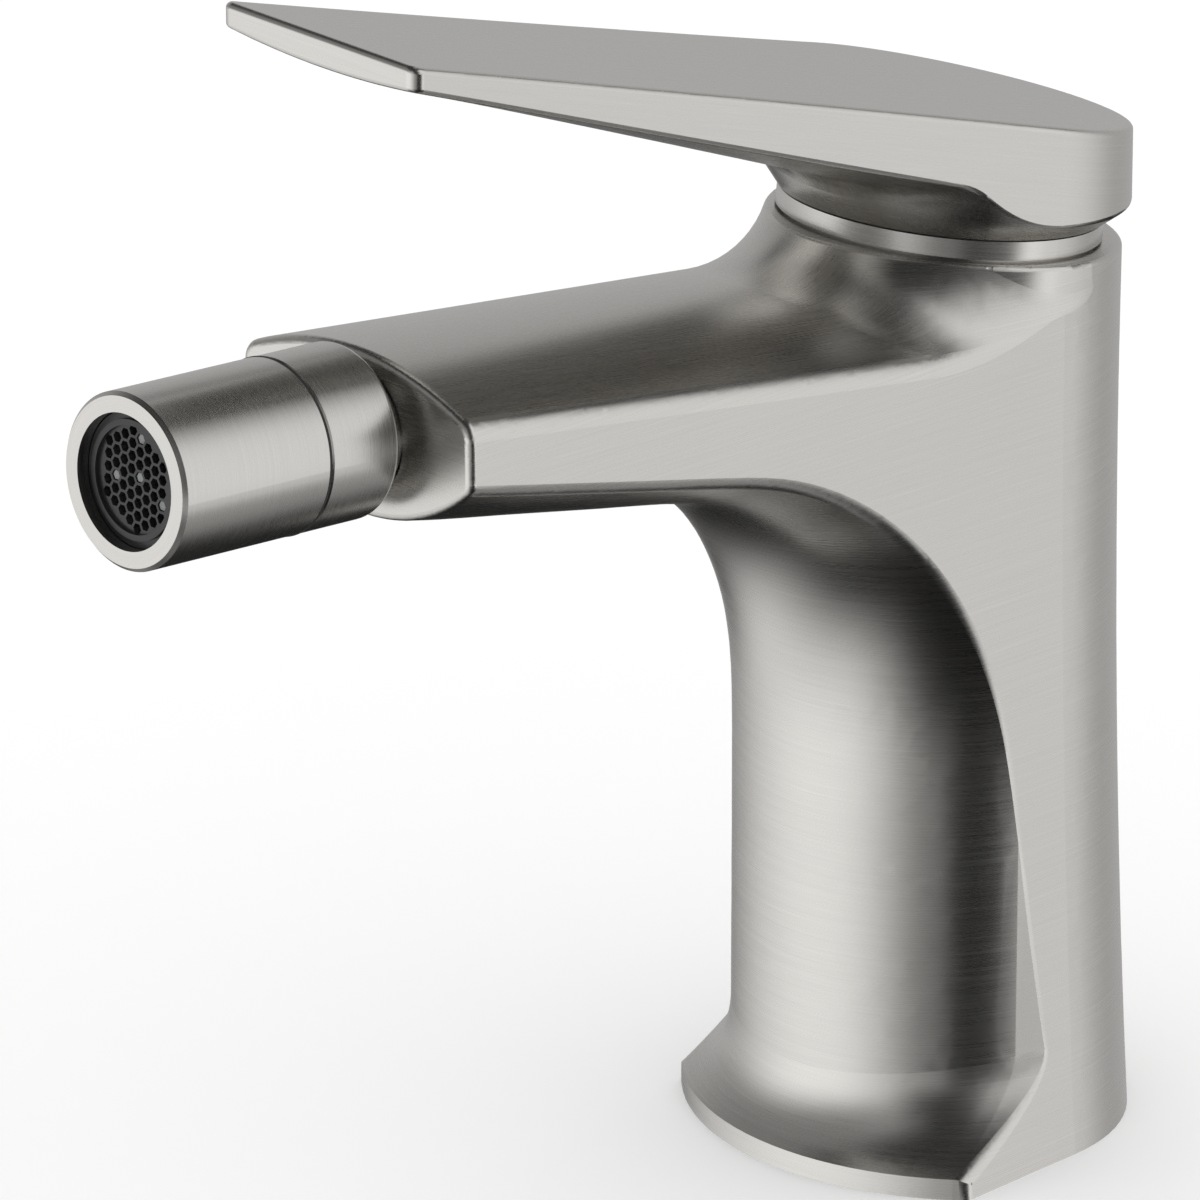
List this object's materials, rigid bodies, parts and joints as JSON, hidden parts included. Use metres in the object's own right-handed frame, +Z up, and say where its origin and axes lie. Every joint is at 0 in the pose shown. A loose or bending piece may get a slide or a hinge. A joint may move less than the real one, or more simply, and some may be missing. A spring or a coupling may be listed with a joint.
{
  "type": "bidet mixer",
  "caption": "Single-lever deck-mounted bidet mixer in brushed metal, with a bowed column, a forward spout and a swivelling aerator.",
  "frame": {"origin": "on the deck, under the middle of the cap ring's seat", "axes": "+Z up out of the deck, -Y forward along the spout and the lever, +X to the right seen from behind the mixer"},
  "size_m": [0.0534, 0.1645, 0.1723],
  "materials": {
    "brushed_nickel": "brushed",
    "turned_brass": "turned",
    "stainless": "drawn",
    "seal_rubber": "moulded",
    "cartridge_plastic": "moulded",
    "guide_plastic": "moulded",
    "disc_ceramic": "lapped",
    "black_plastic": "moulded",
    "screen_plastic": "moulded"
  },
  "bodies": {
    "mixer": {"body": "brushed_nickel", "base_gasket": "seal_rubber", "cap_ring": "brushed_nickel", "cartridge_nut": "turned_brass", "cartridge_housing": "cartridge_plastic", "cartridge_base": "cartridge_plastic", "cartridge_seals": "seal_rubber", "fixed_disc": "disc_ceramic", "spout_collar": "brushed_nickel", "ball_seal": "seal_rubber", "ball_retainer": "turned_brass"},
    "turn": {"spindle_guide": "guide_plastic"},
    "lever": {"lever": "brushed_nickel", "spindle": "turned_brass", "pivot_pin": "stainless", "grub_screw": "stainless", "index_plug": "black_plastic"},
    "disc": {"moving_disc": "disc_ceramic", "disc_carrier": "cartridge_plastic"},
    "swivel": {"swivel_glide_ring": "guide_plastic"},
    "outlet": {"swivel_ball": "turned_brass", "aerator_housing": "brushed_nickel", "aerator_insert": "black_plastic", "aerator_screens": "screen_plastic", "aerator_washer": "seal_rubber"}
  },
  "joints": [
    {"name": "lever_turn", "type": "hinge", "parent": "mixer", "child": "turn", "pos_m": [0, 0, 0.1223], "axis": [0, 0.153, 0.9882], "range_deg": [-45, 45]},
    {"name": "lever_lift", "type": "hinge", "parent": "turn", "child": "lever", "pos_m": [0, -0.0028, 0.10422], "axis": [-1, 0, 0], "range_deg": [0, 20]},
    {"name": "disc_slide", "type": "slide", "parent": "turn", "child": "disc", "axis": [0, -0.9882, 0.153], "range_m": [0, 0.003]},
    {"name": "swivel_pan", "type": "hinge", "parent": "mixer", "child": "swivel", "pos_m": [0, -0.1092, 0.1211], "axis": [0, 0.0687, 0.9976], "range_deg": [-15, 15]},
    {"name": "swivel_tilt", "type": "hinge", "parent": "swivel", "child": "outlet", "pos_m": [0, -0.1092, 0.1211], "axis": [1, 0, 0], "range_deg": [-15, 15]}
  ],
  "couplings": [
    {"joint": "disc_slide", "follows": "lever_lift", "m_per_rad": 0.00816}
  ]
}
